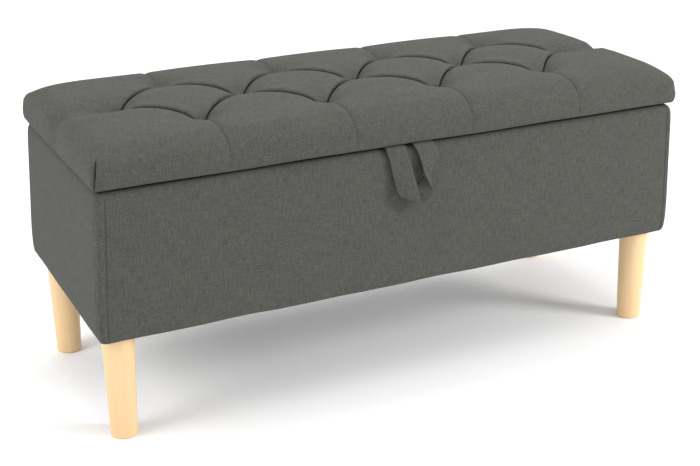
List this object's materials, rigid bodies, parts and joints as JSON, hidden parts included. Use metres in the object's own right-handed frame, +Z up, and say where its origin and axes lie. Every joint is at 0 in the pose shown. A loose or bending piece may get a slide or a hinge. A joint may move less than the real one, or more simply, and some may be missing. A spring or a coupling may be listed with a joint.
{
  "type": "storage bench",
  "caption": "Long upholstered storage bench on round tapered wooden legs, with a hinged deep-tufted lid, a fabric pull loop and slotted lid stays.",
  "frame": {"origin": "on the floor, under the middle of the box", "axes": "+X along the length towards the right end seen from the front, +Y towards the hinged back edge, +Z up"},
  "size_m": [1.016, 0.4328, 0.465],
  "materials": {
    "upholstery_fabric": "matte",
    "lining_cloth": "matte",
    "dust_cloth": "matte",
    "foam": "matte",
    "twine": "matte",
    "board": "matte",
    "leg_wood": "satin",
    "zinc_steel": "satin"
  },
  "bodies": {
    "body": {"front_panel": "board", "back_panel": "board", "left_panel": "board", "right_panel": "board", "base_panel": "board", "front_rail": "board", "back_rail": "board", "left_rail": "board", "right_rail": "board", "front_padding": "foam", "back_padding": "foam", "left_padding": "foam", "right_padding": "foam", "body_cover": "upholstery_fabric", "storage_lining": "lining_cloth", "dust_cover": "dust_cloth", "leg_front_left": "leg_wood", "leg_front_right": "leg_wood", "leg_back_left": "leg_wood", "leg_back_right": "leg_wood", "leg_bolts": "zinc_steel", "leg_inserts": "zinc_steel", "frame_screws": "zinc_steel", "base_screws": "zinc_steel", "hinge_left_box_leaf": "zinc_steel", "hinge_middle_box_leaf": "zinc_steel", "hinge_right_box_leaf": "zinc_steel", "hinge_pins": "zinc_steel", "hinge_box_screws": "zinc_steel", "stay_left_wall_plate": "zinc_steel", "stay_right_wall_plate": "zinc_steel", "stay_wall_pins": "zinc_steel", "stay_wall_screws": "zinc_steel"},
    "lid": {"lid_board": "board", "lid_pad": "foam", "lid_cover": "upholstery_fabric", "lid_lining": "lining_cloth", "tuft_twines": "twine", "tuft_washers": "zinc_steel", "pull_loop": "upholstery_fabric", "hinge_left_lid_leaf": "zinc_steel", "hinge_middle_lid_leaf": "zinc_steel", "hinge_right_lid_leaf": "zinc_steel", "hinge_lid_screws": "zinc_steel", "stay_left_bracket": "zinc_steel", "stay_right_bracket": "zinc_steel", "stay_rivets": "zinc_steel", "stay_lid_screws": "zinc_steel"},
    "stay_left": {"stay_left_arm": "zinc_steel"},
    "stay_right": {"stay_right_arm": "zinc_steel"}
  },
  "joints": [
    {"name": "lid_hinge", "type": "hinge", "parent": "body", "child": "lid", "pos_m": [0, 0.2085, 0.4], "axis": [-1, 0, 0], "range_deg": [0, 90]},
    {"name": "stay_left_pivot", "type": "hinge", "parent": "lid", "child": "stay_left", "pos_m": [-0.472, 0.10096, 0.38584], "axis": [-1, 0, 0], "range_deg": [-45, 0]},
    {"name": "stay_right_pivot", "type": "hinge", "parent": "lid", "child": "stay_right", "pos_m": [0.472, 0.10096, 0.38584], "axis": [-1, 0, 0], "range_deg": [-45, 0]}
  ],
  "couplings": [
    {"joint": "stay_left_pivot", "follows": "lid_hinge", "ratio": -0.5},
    {"joint": "stay_right_pivot", "follows": "lid_hinge", "ratio": -0.5}
  ]
}
